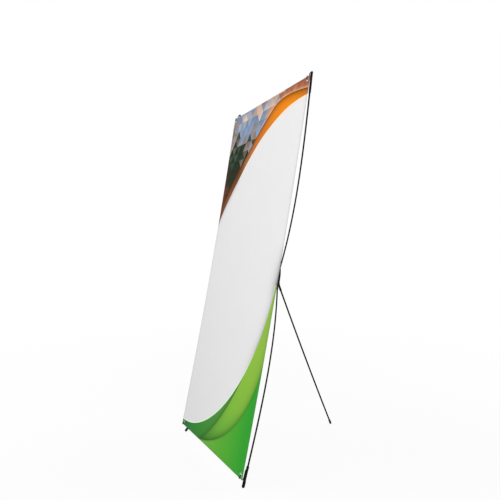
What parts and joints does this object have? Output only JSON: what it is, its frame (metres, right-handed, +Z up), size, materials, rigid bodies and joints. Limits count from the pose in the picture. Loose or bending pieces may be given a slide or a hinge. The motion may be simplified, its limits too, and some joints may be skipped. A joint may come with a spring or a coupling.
{
  "type": "x banner stand",
  "caption": "Free-standing X-frame banner stand: a small hub with bowed rods and a folding rear leg stretches a printed sheet by its corner eyelets.",
  "frame": {"origin": "on the floor, midway between the front of the sheet and the rear foot, on the stand's centre plane", "axes": "+Z up, +X to the right of someone who faces the print, +Y towards the rear leg"},
  "size_m": [0.6, 0.736, 1.6312],
  "materials": {
    "black_plastic": "moulded, satin",
    "black_rod": "pultruded glass-fibre rod, satin",
    "rubber": "matte",
    "steel": "zinc plated",
    "eyelet": "clear polycarbonate",
    "printed_sheet": "printed PVC film, satin"
  },
  "bodies": {
    "hub": {"hub_plate": "black_plastic", "hub_front_cover": "black_plastic", "hub_rear_cover": "black_plastic", "cover_screw_front": "steel", "cover_screw_rear": "steel", "pivot_screw_upper_right": "steel", "pivot_screw_upper_left": "steel", "pivot_screw_lower_right": "steel", "pivot_screw_lower_left": "steel", "leg_bolt": "steel", "leg_nut": "steel"},
    "upper_rod_right": {"knuckle_upper_right": "black_plastic", "rod_upper_right": "black_rod", "hook_cap_upper_right": "black_plastic"},
    "upper_rod_left": {"knuckle_upper_left": "black_plastic", "rod_upper_left": "black_rod", "hook_cap_upper_left": "black_plastic"},
    "lower_rod_right": {"knuckle_lower_right": "black_plastic", "rod_lower_right": "black_rod", "hook_sleeve_lower_right": "black_plastic", "foot_right": "rubber"},
    "lower_rod_left": {"knuckle_lower_left": "black_plastic", "rod_lower_left": "black_rod", "hook_sleeve_lower_left": "black_plastic", "foot_left": "rubber"},
    "rear_leg": {"leg_knuckle": "black_plastic", "leg_rod": "black_rod", "leg_foot": "rubber"},
    "banner": {"banner_sheet": "printed_sheet", "eyelet_lower_right": "eyelet", "eyelet_upper_right": "eyelet", "eyelet_lower_left": "eyelet", "eyelet_upper_left": "eyelet", "eyelet_washer_lower_right": "eyelet", "eyelet_washer_upper_right": "eyelet", "eyelet_washer_lower_left": "eyelet", "eyelet_washer_upper_left": "eyelet"}
  },
  "joints": [
    {"name": "upper_fold_right", "type": "hinge", "parent": "hub", "child": "upper_rod_right", "pos_m": [0.012, -0.0017, 0.79217], "axis": [0, 0.9811, -0.1937], "range_deg": [0, 160], "deforming": ["banner_sheet", "eyelet_upper_right", "eyelet_washer_upper_right"]},
    {"name": "upper_fold_left", "type": "hinge", "parent": "hub", "child": "upper_rod_left", "pos_m": [-0.012, -0.0017, 0.79217], "axis": [0, -0.9811, 0.1937], "range_deg": [0, 160], "deforming": ["banner_sheet", "eyelet_upper_left", "eyelet_washer_upper_left"]},
    {"name": "lower_fold_right", "type": "hinge", "parent": "hub", "child": "lower_rod_right", "pos_m": [0.009, 0.00416, 0.76248], "axis": [0, 0.9811, -0.1937], "range_deg": [0, 18.8], "deforming": ["banner_sheet", "eyelet_lower_right", "eyelet_washer_lower_right"]},
    {"name": "lower_fold_left", "type": "hinge", "parent": "hub", "child": "lower_rod_left", "pos_m": [-0.009, 0.00416, 0.76248], "axis": [0, -0.9811, 0.1937], "range_deg": [0, 18.8], "deforming": ["banner_sheet", "eyelet_lower_left", "eyelet_washer_lower_left"]},
    {"name": "leg_fold", "type": "hinge", "parent": "hub", "child": "rear_leg", "pos_m": [0, 0.01563, 0.76123], "axis": [-1, 0, 0], "range_deg": [0, 35]},
    {"name": "banner_lift_off", "type": "slide", "parent": "hub", "child": "banner", "axis": [0, -0.9811, 0.1937], "range_m": [0, 0.05]}
  ]
}
